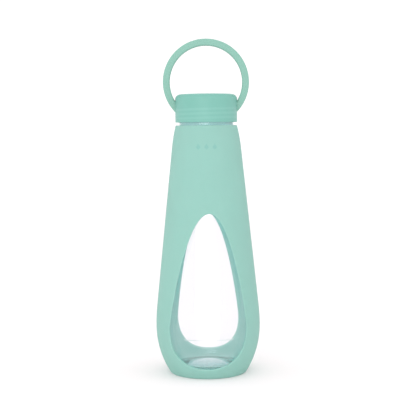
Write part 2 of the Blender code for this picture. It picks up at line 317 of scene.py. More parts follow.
glassShape = {
    "wall": 2.8 * mm,
    "heel": 4.0 * mm,
    "base": 4.6 * mm,
    "domeRadius": 19.5 * mm,
    "domeHeight": 2.6 * mm,
    "domeCrown": 0.6,  # the two handles of the dome's curve, as shares of its radius
    "domeEdge": 0.75,
    "innerHeel": 9.0 * mm,
    "standingRing": 11.0 * mm,
    "puntDepth": 3.2 * mm,
    "beadRadius": 21.45 * mm,
    "beadStep": 0.9 * mm,
    "beadBlend": 1.4,  # in steps
    "beadTop": 3.0 * mm,
    "beadRound": 1.0 * mm,
    "neckFillet": 0.7 * mm,
    "innerDrop": 3.6 * mm,
    "throatRadius": 18.4 * mm,
    "throatTaper": math.radians(6),
    "throatLow": -1.2 * mm,
    "throatHigh": 2.6 * mm,
    "throatRound": 1.2 * mm,
    "throatTurn": math.radians(70),
    "throatIn": 1.2 * mm,  # the curve from the throat's top into the neck's bore
    "throatUp": 0.45 * mm,
    "boreBend": 0.6 * mm,
    "boreStart": 2.4 * mm,
    "neckRadius": 18.7 * mm,
    "neckWall": 3.0 * mm,
    "rimRound": 1.2 * mm,
    "threadStep": 0.17 * mm,
    "steps": 180,
    "softMargin": 1.0 * mm,  # how far the throat's and the base's own finishes run on
    "softDepth": 0.6 * mm,
    "facingDown": -0.3,
}
throatSlot, baseSlot = 1, 2  # the glass's second and third materials


def neckRows(radius, low, high, step):
    count = max(1, round((high - low) / step))
    return linePoints((radius, high), (radius, low), count)


def neckBead(start, lean):
    # a straight collar under the thread, rounded in to the neck
    shape = glassShape
    radius, corner = shape["beadRadius"], shape["beadRound"]
    low = start[1] + shape["beadStep"] * shape["beadBlend"]
    top = bottleForm["lipHeight"] + shape["beadTop"]
    half = shape["beadStep"] / 2
    bend = (start[0] - math.tan(lean) * half, start[1] + half)
    points = bezierPoints(start, bend, (radius, low - half), (radius, low), 6)[1:]
    points += linePoints((radius, low), (radius, top - corner), 4)[1:]
    points += arcPoints((radius - corner, top - corner), corner, 0, math.pi / 2, 6)[1:]
    fillet = shape["neckFillet"]
    centre = (shape["neckRadius"] + fillet, top + fillet)
    return points + arcPoints(centre, fillet, -math.pi / 2, -math.pi, 5)


def throatPoints(start, lean, bore):
    # the bore behind the collar, a little wider at its top, then rounded in to the neck's bore
    shape = glassShape
    lip = bottleForm["lipHeight"]
    low, high = lip + shape["throatLow"], lip + shape["throatHigh"]
    wide = shape["throatRadius"] + math.tan(shape["throatTaper"]) * (high - low)
    middle = (start[0] - math.tan(lean) * (low - start[1]) / 2, (low + start[1]) / 2)
    points = bezierPoints(start, middle, middle, (shape["throatRadius"], low), 8)[1:]
    points += linePoints((shape["throatRadius"], low), (wide, high), 4)[1:]
    corner = shape["throatRound"]
    points += arcPoints((wide - corner, high), corner, 0, shape["throatTurn"], 8)[1:]
    x, z = points[-1]
    leaving = (x - shape["throatIn"], z + shape["throatUp"])
    arriving = (bore, z + shape["boreBend"])
    return points + bezierPoints((x, z), leaving, arriving, (bore, z + shape["boreStart"]), 8)[1:]


def makeGlass():
    shape = glassShape
    form = bottleForm
    inset = form["sleeveWall"] + form["gap"]
    foot = glassLow.z
    floor = foot + shape["base"]
    top = glassHigh.z
    bore = shape["neckRadius"] - shape["neckWall"]
    inner, lean = sideOutline(
        inset + shape["wall"], floor, shape["innerHeel"], form["lipHeight"] - shape["innerDrop"]
    )
    inner += throatPoints(inner[-1], lean, bore)
    outer, lean = sideOutline(inset, foot, shape["heel"], form["lipHeight"] - shape["beadStep"])
    outer += neckBead(outer[-1], lean)
    rim = shape["rimRound"]
    lip = arcPoints((bore + rim, top - rim), rim, math.pi, math.pi / 2, 6)
    lip += arcPoints((shape["neckRadius"] - rim, top - rim), rim, math.pi / 2, 0, 6)
    neck = neckRows(shape["neckRadius"], outer[-1][1], top - rim, shape["threadStep"])[1:-1]
    puntRadius = outer[0][0] - shape["standingRing"]
    dome = (puntRadius**2 + shape["puntDepth"] ** 2) / (2 * shape["puntDepth"])
    domeCentre = (0, foot + shape["puntDepth"] - dome)
    punt = arcPoints(domeCentre, dome, math.acos(puntRadius / dome), math.pi / 2, 14)
    reach, crown = shape["domeRadius"], floor + shape["domeHeight"]
    domed = bezierPoints(
        (0, crown),
        (reach * shape["domeCrown"], crown),
        (reach * shape["domeEdge"], floor),
        (reach, floor),
        16,
    )
    innerFloor = domed + linePoints((reach, floor), inner[0], 4)[1:-1]
    profile = innerFloor + inner + lip + neck + outer[::-1] + punt[:-1]
    profile.append((0, foot + shape["puntDepth"]))

    def shift(angle, radius, height):
        onNeck = abs(radius - shape["neckRadius"]) < tiny and height > form["lipHeight"]
        return threadRise(neckThread, angle, height) if onNeck else 0

    piece = turnedPiece("glassBottle", profile, shape["steps"], shift=shift)
    margin = shape["softMargin"]
    for face in piece.data.polygons:
        reach = math.hypot(face.center.x, face.center.y)
        above = face.center.z - form["lipHeight"]
        inThroat = shape["throatLow"] - margin < above < shape["throatHigh"] + margin
        if inThroat and reach < shape["throatRadius"] + shape["softDepth"]:
            face.material_index = throatSlot
        underFoot = face.center.z < foot + shape["puntDepth"] + margin and reach < puntRadius
        if underFoot and face.normal.z < shape["facingDown"]:
            face.material_index = baseSlot
    return piece


glassBottle = makeGlass()
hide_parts("glass_bottle")
print("glass bottle made")


sleeveShape = {
    "footHeel": 1.5 * mm,
    "glassHeel": 4.3 * mm,
    "windowTop": 129.8 * mm,
    "windowWidest": 40.0 * mm,
    "windowBottom": 8.1 * mm,
    "windowHalfWidth": 30.0 * mm,
    "tipHandle": 17.9 * mm,
    "sideHandle": 6.5 * mm,
    "fullness": 0.64,
    "windowCounts": (80, 60),  # points above and below the widest place
    "frontInset": (0.0, 0.5 * mm),  # outer edge, inner edge
    "backInset": (3.2 * mm, 2.2 * mm),
    "edgeRound": 0.45 * mm,
    "edgeSteps": 3,
    "weld": 4e-6,
    "firstRow": 0.9 * mm,
    "rowGrowth": 1.25,
    "rows": 26,
    "topCount": 16,
    "sideCount": 60,
    "bottomCount": 24,
    "twistLow": math.radians(-0.8),
    "twistHigh": math.radians(2.6),
    "twistStart": 20 * mm,
    "footRecess": 0.6 * mm,
    "footRows": (0.76, 0.73, 0.5, 0.25),  # shares of the foot's radius, all but the first recessed
}


def evenPoints(points, count):
    # the same line in equal steps
    points = np.array(points)
    run = np.append(0, np.cumsum(np.linalg.norm(np.diff(points, axis=0), axis=1)))
    at = np.linspace(0, run[-1], count + 1)
    return np.stack([np.interp(at, run, points[:, k]) for k in range(2)], axis=1)


def windowHalf(inset, count):
    # right half of a window's outline seen along Y, from its tip down to its bottom
    shape = sleeveShape
    half = shape["windowHalfWidth"] - inset
    top = shape["windowTop"] - inset
    bottom = shape["windowBottom"] + inset
    widest = shape["windowWidest"]
    low = (widest - bottom) * shape["fullness"]
    above, below = shape["windowCounts"]
    middle = (half, widest)
    tip, shoulder = (shape["tipHandle"], top), (half, widest + shape["sideHandle"])
    hip, heel = (half, widest - low), (half * shape["fullness"], bottom)
    side = bezierPoints((0, top), tip, shoulder, middle, above)
    side += bezierPoints(middle, hip, heel, (0, bottom), below)[1:]
    return evenPoints(side, count)


class OutlineWall:
    # one face of the sleeve: a turned outline read by the length run up it
    def __init__(self, points):
        self.points = np.array(points)
        steps = np.linalg.norm(np.diff(self.points, axis=0), axis=1)
        self.run = np.append(0, np.cumsum(steps))
        self.start = self.run[outlineCounts["heel"]]
        self.length = self.run[-1]

    def atRun(self, run):
        return tuple(np.interp(run, self.run, self.points[:, k]) for k in range(2))

    def runAtHeight(self, height):
        return float(np.interp(height, self.points[:, 1], self.run))


def framePoints(wall):
    # right half of the patch's border: along the lip, down the side, along the foot
    shape = sleeveShape
    quarter = math.pi / 2
    top, side, bottom = shape["topCount"], shape["sideCount"], shape["bottomCount"]
    made = [(quarter * i / top, wall.length) for i in range(top)]
    made += [(quarter, wall.length + (wall.start - wall.length) * i / side) for i in range(side)]
    made += [(quarter * (1 - i / bottom), wall.start) for i in range(bottom + 1)]
    return made


def holePoints(wall, inset, count):
    made = []
    for across, height in windowHalf(inset, count):
        run = wall.runAtHeight(height)
        radius = float(wall.atRun(run)[0])
        made.append((math.asin(across / radius), run))
    return made


def mirrored(points):
    return points + [(-a, r) for a, r in points[-2:0:-1]]


def patchRows(wall, inset):
    # rows of (angle, run) from the window's edge out to the patch's border
    shape = sleeveShape
    count = shape["topCount"] + shape["sideCount"] + shape["bottomCount"]
    hole = np.array(mirrored(holePoints(wall, inset, count)))
    border = np.array(mirrored(framePoints(wall)))
    radius = wall.atRun(hole[:, 1])[0]
    reach = np.hypot((border[:, 0] - hole[:, 0]) * radius, border[:, 1] - hole[:, 1])
    rows = [hole]
    first = shape["firstRow"]
    for j in range(shape["rows"]):
        share = (j / (shape["rows"] - 1)) ** shape["rowGrowth"]
        along = (first + (reach - first) * share) / reach
        rows.append(hole + (border - hole) * along[:, None])
    return rows


def twistAt(height):
    # the sleeve sits a little turned on the glass, more so towards its top
    shape = sleeveShape
    start = shape["twistStart"]
    t = min(1, max(0, (height - start) / (shape["windowTop"] - start)))
    return shape["twistLow"] + (shape["twistHigh"] - shape["twistLow"]) * t


def placeOn(wall, angle, run, facing):
    radius, height = (float(v) for v in wall.atRun(run))
    turn = facing + angle + twistAt(height)
    return (radius * math.sin(turn), -radius * math.cos(turn), height)


def footRows(wall, recess):
    # (radius, height) from the border down round the heel and in to the middle of the foot
    heel = [tuple(p) for p in wall.points[: outlineCounts["heel"] + 1]][::-1]
    edge, level = heel[-1]
    rim, *recessed = sleeveShape["footRows"]
    rows = [(edge * rim, level)] + [(edge * share, level + recess) for share in recessed]
    return heel[1:] + rows, level + recess


def makeSleeve():
    shape = sleeveShape
    form = bottleForm
    thick = form["sleeveWall"]
    outer = OutlineWall(sideOutline(0, 0, shape["footHeel"], form["lipHeight"])[0])
    inner = OutlineWall(sideOutline(thick, thick, shape["glassHeel"], form["lipHeight"])[0])
    bm = bmesh.new()
    # an edge whose two ends carry the same tag is rounded: windows 1 and 3, lips 2 and 4
    tag = bm.verts.layers.int.new("edgeTag")
    top, side, bottom = shape["topCount"], shape["sideCount"], shape["bottomCount"]
    half = top + side + bottom
    around = 2 * half
    for facing, insets in ((0, shape["frontInset"]), (math.pi, shape["backInset"])):
        grids = []
        for wall, inset, mark in ((outer, insets[0], 1), (inner, insets[1], 3)):
            grid = []
            for level, row in enumerate(patchRows(wall, inset)):
                verts = [bm.verts.new(placeOn(wall, a, r, facing)) for a, r in row]
                if level == 0:
                    for vert in verts:
                        vert[tag] = mark
                grid.append(verts)
            for k in list(range(top + 1)) + list(range(around - top, around)):
                grid[-1][k][tag] = mark + 1
            for low, high in zip(grid, grid[1:]):
                for i in range(around):
                    j = (i + 1) % around
                    bm.faces.new((low[i], low[j], high[j], high[i]))
            grids.append(grid)
        outerGrid, innerGrid = grids
        for i in range(around):
            j = (i + 1) % around
            bm.faces.new((outerGrid[0][i], outerGrid[0][j], innerGrid[0][j], innerGrid[0][i]))
        for i in range(around - top, around + top):
            j = (i + 1) % around
            k = i % around
            bm.faces.new((outerGrid[-1][k], outerGrid[-1][j], innerGrid[-1][j], innerGrid[-1][k]))
        for wall, grid, recess in ((outer, outerGrid, shape["footRecess"]), (inner, innerGrid, 0)):
            addFoot(bm, wall, grid[-1], recess, half - bottom, half + bottom)
    bmesh.ops.remove_doubles(bm, verts=bm.verts, dist=shape["weld"])
    weight = bm.edges.layers.float.new("bevel_weight_edge")
    for edge in bm.edges:
        first, second = (v[tag] for v in edge.verts)
        if first and first == second:
            edge[weight] = 1.0
    bm.verts.layers.int.remove(tag)
    sleeve = finishMesh(bm, "siliconeSleeve")
    bevel = sleeve.modifiers.new("softEdges", "BEVEL")
    bevel.limit_method = "WEIGHT"
    bevel.width = shape["edgeRound"]
    bevel.segments = shape["edgeSteps"]
    return sleeve


def addFoot(bm, wall, border, recess, first, last):
    # carries the border's lower edge round the heel and across the foot to its middle
    rows, level = footRows(wall, recess)
    ring = border[first : last + 1]
    for radius, height in rows:
        row = []
        for vert in ring:
            flat = Vector((vert.co.x, vert.co.y)).normalized() * radius
            row.append(bm.verts.new((flat.x, flat.y, height)))
        for i in range(len(ring) - 1):
            bm.faces.new((ring[i], ring[i + 1], row[i + 1], row[i]))
        ring = row
    middle = bm.verts.new((0, 0, level))
    for i in range(len(ring) - 1):
        bm.faces.new((ring[i], ring[i + 1], middle))


siliconeSleeve = makeSleeve()
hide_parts("silicone_sleeve")
print("sleeve made")


lidSteps = 160
hardCorner = math.radians(35)
shellShape = {
    "wall": 1.6 * mm,
    "top": 1.8 * mm,
    "corner": 4.0 * mm,
    "edge": 0.4 * mm,
}
lidRadius = shellHigh.x


def makeShell():
    shape = shellShape
    low, high = shellLow.z, shellHigh.z
    bore = lidRadius - shape["wall"]
    innerCorner = shape["corner"] - shape["wall"]
    ceiling = high - shape["top"]
    corner = shape["corner"]
    edge = shape["edge"]
    profile = linePoints((0, high), (lidRadius - corner, high), 6)[:-1]
    profile += arcPoints((lidRadius - corner, high - corner), corner, math.pi / 2, 0, 14)
    profile += linePoints((lidRadius, high - corner), (lidRadius, low + edge), 24)[1:-1]
    profile += arcPoints((lidRadius - edge, low + edge), edge, 0, -math.pi / 2, 5)
    profile += arcPoints((bore + edge / 2, low + edge / 2), edge / 2, -math.pi / 2, -math.pi, 3)
    innerCentre = (bore - innerCorner, ceiling - innerCorner)
    profile += arcPoints(innerCentre, innerCorner, 0, math.pi / 2, 8)
    profile.append((0, ceiling))
    shell = turnedPiece("lidShell", profile, lidSteps)
    applyBoolean(shell, ringBand("ringSlot", ringShape["seat"]), "DIFFERENCE")
    return shell


ringShape = {
    "band": 5.4 * mm,
    "depth": 7.0 * mm,
    "round": 1.2 * mm,
    "seat": 0.06 * mm,
    "pad": 1.0 * mm,
    "padBore": 21.7 * mm,
    "padRim": 1.5 * mm,
    "padSteps": 16,
    "steps": 240,
}
ringRadius = ringHigh.x
ringCentre = ringHigh.z - ringRadius


def ringBand(name, grow):
    # the ring's whole band, which also cuts the slots in the shell when it is a little larger
    shape = ringShape
    low = (ringRadius - shape["band"] - grow, -shape["depth"] / 2 - grow)
    high = (ringRadius + grow, shape["depth"] / 2 + grow)
    section = roundedSection(low, high, shape["round"], 6)
    band = turnedPiece(name, section, shape["steps"], closed=True)
    upright = Matrix.Rotation(math.pi / 2, 4, "X")
    band.data.transform(Matrix.Translation((0, 0, ringCentre)) @ upright)
    return band


def makeRing():
    shape = ringShape
    ring = ringBand("carryRing", 0)
    middle = shape["padBore"] + shape["pad"] / 2
    inLid = [(0, ringCentre), (middle, ringCentre), (middle, 0), (0, 0)]
    space = turnedPiece("lidSpace", inLid, lidSteps)
    applyBoolean(ring, space, "DIFFERENCE")
    for side in (-1, 1):
        applyBoolean(ring, makePad(side), "UNION")
    return ring


def makePad(side):
    # a curved plate behind the lid's wall, at one of the ring's feet
    shape = ringShape
    bore, rim, steps = shape["padBore"], shape["padRim"], shape["padSteps"]
    outer = bore + shape["pad"]
    reach = [math.sqrt(r**2 - outer**2) for r in (ringRadius, ringRadius - shape["band"])]
    low = ringCentre - reach[0] - rim
    high = ringCentre - reach[1] + rim
    halfTurn = math.asin((shape["depth"] / 2 + rim) / outer)
    section = ((bore, low), (outer, low), (outer, high), (bore, high))
    bm = bmesh.new()
    loops = []
    for i in range(steps + 1):
        angle = -halfTurn + 2 * halfTurn * i / steps
        across, along = side * math.cos(angle), math.sin(angle)
        loops.append([bm.verts.new((r * across, r * along, z)) for r, z in section])
    for first, second in zip(loops, loops[1:]):
        for j in range(4):
            k = (j + 1) % 4
            bm.faces.new((first[j], first[k], second[k], second[j]))
    bm.faces.new(loops[0])
    bm.faces.new(loops[-1])
    return finishMesh(bm, "footPad")


linerShape = {
    "wall": 1.2 * mm,
    "top": 1.2 * mm,
    "flange": 1.5 * mm,
    "corner": 1.0 * mm,
    "root": 20.2 * mm,
}


def makeLiner():
    shape = linerShape
    root = shape["root"]
    outer = root + shape["wall"]
    flange = ringShape["padBore"] + ringShape["pad"]
    low, high = linerLow.z, linerHigh.z
    ceiling = high - shape["top"]
    corner = shape["corner"]
    profile = [(0, high)] + arcPoints((outer - corner, high - corner), corner, math.pi / 2, 0, 5)
    profile += [(outer, low + shape["flange"]), (flange, low + shape["flange"])]
    profile += [(flange, low), (root, low)]
    profile += neckRows(root, low, ceiling, glassShape["threadStep"])[::-1][1:]
    profile.append((0, ceiling))

    def shift(angle, radius, height):
        return -threadRise(linerThread, angle, height) if abs(radius - root) < tiny else 0

    return turnedPiece("lidLiner", profile, lidSteps, shift=shift)


gasketShape = {"width": 4.1 * mm, "corner": 0.3 * mm}


def makeGasket():
    low = (gasketHigh.x - gasketShape["width"], gasketLow.z)
    section = roundedSection(low, (gasketHigh.x, gasketHigh.z), gasketShape["corner"], 4)
    return turnedPiece("lidGasket", section, lidSteps, closed=True)


lidShell = makeShell()
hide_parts("lid_shell")
carryRing = makeRing()
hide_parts("carry_ring")
lidLiner = makeLiner()
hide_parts("lid_liner")
lidGasket = makeGasket()
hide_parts("lid_gasket")
for piece in (lidShell, carryRing):
    piece.data.set_sharp_from_angle(angle=hardCorner)
print("lid made")


def tone(red, green, blue):
    # an sRGB colour of 0 to 255 as the linear colour that a shader takes
    return tuple(((c / 255 + 0.055) / 1.055) ** 2.4 for c in (red, green, blue)) + (1.0,)


class NodeBench:
    # adds and joins nodes in one tree
    def __init__(self, tree):
        self.tree = tree

    def add(self, kind, **settings):
        node = self.tree.nodes.new(kind)
        for name, value in settings.items():
            setattr(node, name, value)
        return node

    def feed(self, socket, value):
        if isinstance(value, bpy.types.NodeSocket):
            self.tree.links.new(value, socket)
        elif value is not None:
            socket.default_value = value

    def maths(self, operation, *values):
        node = self.add("ShaderNodeMath", operation=operation)
        for socket, value in zip(node.inputs, values):
            self.feed(socket, value)
        return node.outputs[0]

    def times(self, first, second):
        return self.maths("MULTIPLY", first, second)

    def over(self, first, second):
        return self.maths("DIVIDE", first, second)

    def plus(self, first, second):
        return self.maths("ADD", first, second)

    def minus(self, first, second):
        return self.maths("SUBTRACT", first, second)

    def size(self, value):
        return self.maths("ABSOLUTE", value)

    def ease(self, value, low, high, toLow=0.0, toHigh=1.0):
        node = self.add("ShaderNodeMapRange", interpolation_type="SMOOTHSTEP")
        for socket, given in zip(node.inputs, (value, low, high, toLow, toHigh)):
            self.feed(socket, given)
        return node.outputs[0]

    def noise(self, vector, scale, detail, roughness):
        node = self.add("ShaderNodeTexNoise")
        self.feed(node.inputs["Vector"], vector)
        self.feed(node.inputs["Scale"], scale)
        node.inputs["Detail"].default_value = detail
        node.inputs["Roughness"].default_value = roughness
        return node.outputs["Fac"]

    def blend(self, factor, first, second, mode="MIX"):
        node = self.add("ShaderNodeMix", data_type="RGBA", blend_type=mode)
        self.feed(node.inputs["Factor"], factor)
        self.feed(node.inputs[6], first)
        self.feed(node.inputs[7], second)
        return node.outputs[2]

    def place(self):
        return self.add("ShaderNodeTexCoord").outputs["Object"]

    def axes(self):
        # the place's X, Y and Z in metres
        node = self.add("ShaderNodeSeparateXYZ")
        self.feed(node.inputs[0], self.place())
        return node.outputs


grain = {
    "cloud": 26 * mm,
    "patch": 7 * mm,
    "ripple": 2.6 * mm,
    "dustCell": 2.2 * mm,
    "dustColour": (0.86, 0.9, 0.88, 1.0),
    "scuff": 3.2 * mm,
    "smear": 13 * mm,
    "blot": 30 * mm,
    "glassRipple": 17 * mm,
}
plainGrey = (0.5, 0.5, 0.5, 1.0)


def newGroup(name, inputs, outputs):
    tree = bpy.data.node_groups.new(name, "ShaderNodeTree")
    for kind, sockets in (("INPUT", inputs), ("OUTPUT", outputs)):
        for label, value in sockets.items():
            colour = isinstance(value, tuple)
            socket = tree.interface.new_socket(
                label, in_out=kind, socket_type="NodeSocketColor" if colour else "NodeSocketFloat"
            )
            socket.default_value = value
    bench = NodeBench(tree)
    return tree, bench, bench.add("NodeGroupInput").outputs, bench.add("NodeGroupOutput").inputs


def useGroup(bench, tree, **values):
    node = bench.add("ShaderNodeGroup", node_tree=tree)
    for label, value in values.items():
        bench.feed(node.inputs[label], value)
    return node.outputs


def makeMouldedGroup():
    # moulded rubber or plastic: cloudy tone, a matt stipple, a slow ripple and settled dust
    tree, bench, given, out = newGroup(
        "mouldedSurface",
        {
            "Colour": plainGrey,
            "Mottle": 0.05,
            "Stipple": 0.0004,
            "Roughness": 0.5,
            "Spread": 0.1,
            "Dust": 0.3,
        },
        {"Colour": plainGrey, "Roughness": 0.5, "Height": 0.0},
    )
    place = bench.place()
    cloud = bench.noise(place, 1 / grain["cloud"], 4.0, 0.6)
    patch = bench.noise(place, 1 / grain["patch"], 3.0, 0.55)
    ripple = bench.noise(place, 1 / grain["ripple"], 1.0, 0.4)
    stipple = bench.noise(place, bench.over(1.0, given["Stipple"]), 2.0, 0.6)
    tonal = bench.plus(bench.times(cloud, 0.7), bench.times(patch, 0.3))
    swing = bench.times(bench.minus(tonal, 0.5), bench.times(given["Mottle"], 2.6))
    fine = bench.times(bench.minus(stipple, 0.5), bench.times(given["Mottle"], 0.9))
    shade = bench.plus(1.0, bench.plus(swing, fine))
    grey = bench.add("ShaderNodeCombineColor")
    for socket in grey.inputs:
        bench.feed(socket, shade)
    toned = bench.blend(1.0, given["Colour"], grey.outputs[0], "MULTIPLY")
    cells = bench.add("ShaderNodeTexVoronoi")
    bench.feed(cells.inputs["Vector"], place)
    cells.inputs["Scale"].default_value = 1 / grain["dustCell"]
    chosen = bench.add("ShaderNodeSeparateColor")
    bench.feed(chosen.inputs[0], cells.outputs["Color"])
    speck = bench.ease(cells.outputs["Distance"], 0.03, 0.075, 1.0, 0.0)
    rare = bench.ease(chosen.outputs[0], 0.90, 0.93)
    dust = bench.times(bench.times(speck, rare), given["Dust"])
    bench.feed(out["Colour"], bench.blend(dust, toned, grain["dustColour"]))
    rough = bench.times(bench.minus(patch, 0.5), bench.times(given["Spread"], 2.0))
    rough = bench.plus(bench.plus(given["Roughness"], rough), bench.times(dust, 0.3))
    bench.feed(out["Roughness"], bench.maths("MINIMUM", rough, 0.95))
    height = bench.plus(bench.times(stipple, 0.3), bench.times(ripple, 0.7))
    bench.feed(out["Height"], bench.plus(height, bench.times(dust, 0.6)))
    return tree


def makeWearGroup():
    # rubbed corners, partly wear and partly a painted highlight where light catches the edges: the
    # tone goes chalky and the surface a little shinier
    tree, bench, given, out = newGroup(
        "rubbedAndLitEdges",
        {"Colour": plainGrey, "Roughness": 0.5, "Wear": 0.3, "Chalk": (0.8, 0.9, 0.87, 1.0)},
        {"Colour": plainGrey, "Roughness": 0.5},
    )
    corner = bench.ease(bench.add("ShaderNodeNewGeometry").outputs["Pointiness"], 0.505, 0.56)
    broken = bench.ease(bench.noise(bench.place(), 1 / grain["scuff"], 4.0, 0.65), 0.38, 0.62)
    mask = bench.times(corner, bench.times(broken, given["Wear"]))
    # painted highlight: the pointy edges take the pale chalk colour, standing in for the light
    # they catch as well as for wear
    bench.feed(out["Colour"], bench.blend(mask, given["Colour"], given["Chalk"]))
    bench.feed(out["Roughness"], bench.minus(given["Roughness"], bench.times(mask, 0.25)))
    return tree


def makeSeamGroup():
    # the fine raised line that the two halves of a mould leave where they meet, in the plane y = 0
    tree, bench, given, out = newGroup("mouldSeam", {"Half Width": 0.00011}, {"Mask": 0.0})
    axes = bench.axes()
    away = bench.over(bench.size(axes["Y"]), given["Half Width"])
    bench.feed(out["Mask"], bench.ease(away, 0.3, 1.0, 1.0, 0.0))
    return tree


def makeSmudgeGroup():
    # fingerprints and wiped streaks, as small changes in how sharp a gloss is
    tree, bench, given, out = newGroup(
        "smudges", {"Clean": 0.02, "Smudged": 0.1}, {"Roughness": 0.05}
    )
    place = bench.place()
    stretch = bench.add("ShaderNodeMapping")
    bench.feed(stretch.inputs["Vector"], place)
    stretch.inputs["Scale"].default_value = (1.0, 1.0, 0.35)
    smear = bench.noise(stretch.outputs[0], 1 / grain["smear"], 5.0, 0.6)
    blot = bench.noise(place, 1 / grain["blot"], 3.0, 0.5)
    mask = bench.times(bench.ease(smear, 0.45, 0.75), bench.ease(blot, 0.4, 0.7))
    spread = bench.minus(given["Smudged"], given["Clean"])
    bench.feed(out["Roughness"], bench.plus(given["Clean"], bench.times(mask, spread)))
    return tree


def makeThreadGroup():
    # the screw thread, read as a soft winding band by height and turn
    tree, bench, given, out = newGroup(
        "threadBand", {"Start": 0.2, "Pitch": 0.0034, "Low": 0.2, "High": 0.21}, {"Mask": 0.0}
    )
    axes = bench.axes()
    turn = bench.over(bench.maths("ARCTAN2", axes["Y"], axes["X"]), 2 * math.pi)
    climb = bench.over(bench.minus(axes["Z"], given["Start"]), given["Pitch"])
    phase = bench.maths("FRACT", bench.minus(climb, turn))
    band = bench.ease(bench.size(bench.minus(phase, 0.5)), 0.14, 0.34)
    starting, ending = 2 * mm, 2.5 * mm
    fadeIn = bench.ease(axes["Z"], given["Low"], bench.plus(given["Low"], starting))
    fadeOut = bench.ease(axes["Z"], bench.minus(given["High"], ending), given["High"], 1.0, 0.0)
    bench.feed(out["Mask"], bench.times(band, bench.times(fadeIn, fadeOut)))
    return tree


dropReach = 1.25  # a drop's half height, as a multiple of its Size
dropOutline = ((0.12, 0.72), (0.34, 0.78), (0.6, 0.42), (0.97, 0.0))  # way up, half width


def makeDropGroup():
    # three small drops in a row on the front, a little deeper in tone, as a plain ornament
    tree, bench, given, out = newGroup(
        "tonalDrops", {"Height": 0.187, "Spacing": 0.0056, "Size": 0.0026}, {"Mask": 0.0}
    )
    axes = bench.axes()
    along = bench.over(axes["X"], given["Spacing"])
    slot = bench.minus(bench.maths("FRACT", bench.plus(along, 50.5)), 0.5)
    across = bench.over(bench.times(bench.size(slot), given["Spacing"]), given["Size"])
    up = bench.over(bench.minus(axes["Z"], given["Height"]), given["Size"])
    rise = bench.ease(up, -dropReach, dropReach)
    widthRamp = bench.add("ShaderNodeValToRGB")
    widthRamp.color_ramp.interpolation = "B_SPLINE"
    for at, width in dropOutline:
        stop = widthRamp.color_ramp.elements.new(at)
        stop.color = (width, width, width, 1.0)
    widthRamp.color_ramp.elements[-1].color = (0, 0, 0, 1)
    bench.feed(widthRamp.inputs[0], rise)
    mask = bench.ease(bench.minus(widthRamp.outputs[0], across), 0.03, 0.2)
    three = bench.ease(bench.size(along), 1.45, 1.5, 1.0, 0.0)
    front = bench.maths("LESS_THAN", axes["Y"], 0.0)
    level = bench.maths("LESS_THAN", bench.size(up), dropReach - 0.01)
    bench.feed(out["Mask"], bench.times(mask, bench.times(bench.times(three, level), front)))
    return tree


mouldedSurface = makeMouldedGroup()
rubbedAndLitEdges = makeWearGroup()
mouldSeam = makeSeamGroup()
smudges = makeSmudgeGroup()
threadBand = makeThreadGroup()
tonalDrops = makeDropGroup()
print("shared effects ready")


def newMaterial(name):
    made = bpy.data.materials.new(name)
    made.use_nodes = True
    return made, NodeBench(made.node_tree), made.node_tree.nodes["Principled BSDF"]


def setSockets(shader, **values):
    for name, value in values.items():
        shader.inputs[name.replace("_", " ")].default_value = value


def passLight(made, bench, shader, colour, share):
    # lets a share of the light on its way to or from a matt surface go straight through;
    # a share under 1 counts only on the way out of the bottle, so that its shadow stays whole
    path = bench.add("ShaderNodeLightPath")
    clear = bench.add("ShaderNodeBsdfTransparent")
    clear.inputs["Color"].default_value = colour
    through = clear.outputs["BSDF"]
    if share < 1:
        part = bench.add("ShaderNodeMixShader")
        facing = bench.add("ShaderNodeNewGeometry")
        level = bench.add("ShaderNodeVectorMath", operation="MULTIPLY")
        bench.feed(level.inputs[0], facing.outputs["Position"])
        level.inputs[1].default_value = (1, 1, 0)
        outward = bench.add("ShaderNodeVectorMath", operation="DOT_PRODUCT")
        bench.feed(outward.inputs[0], level.outputs[0])
        bench.feed(outward.inputs[1], facing.outputs["Normal"])
        leaving = bench.maths("LESS_THAN", outward.outputs["Value"], 0.0)
        bench.feed(part.inputs[0], bench.times(leaving, share))
        bench.feed(part.inputs[1], shader.outputs["BSDF"])
        bench.feed(part.inputs[2], through)
        through = part.outputs["Shader"]
    surface = shader.outputs["BSDF"]
    for ray in ("Is Shadow Ray", "Is Diffuse Ray"):
        mix = bench.add("ShaderNodeMixShader")
        bench.feed(mix.inputs[0], path.outputs[ray])
        bench.feed(mix.inputs[1], surface)
        bench.feed(mix.inputs[2], through)
        surface = mix.outputs["Shader"]
    bench.feed(made.node_tree.nodes["Material Output"].inputs["Surface"], surface)


def addBump(bench, shader, height, depth):
    bump = bench.add("ShaderNodeBump")
    bump.inputs["Distance"].default_value = depth
    bench.feed(bump.inputs["Height"], height)
    bench.feed(shader.inputs["Normal"], bump.outputs["Normal"])


def mouldedFinish(bench, colour, look):
    return useGroup(
        bench,
        mouldedSurface,
        Colour=colour,
        Mottle=look["mottle"],
        Stipple=look["stipple"],
        Roughness=look["roughness"],
        Spread=look["spread"],
        Dust=look["dust"],
    )


def rubbedAndLitFinish(bench, base, look):
    return useGroup(
        bench,
        rubbedAndLitEdges,
        Colour=base["Colour"],
        Roughness=base["Roughness"],
        Wear=look["wearAndHighlight"],
        Chalk=look["chalkAndHighlight"],
    )


def setMilky(shader, look):
    # a little light goes into the material and comes out again close by
    setSockets(
        shader,
        Specular_IOR_Level=look["gloss"],
        Subsurface_Weight=look["milky"],
        Subsurface_Radius=look["scatter"],
        Subsurface_Scale=look["depth"],
    )


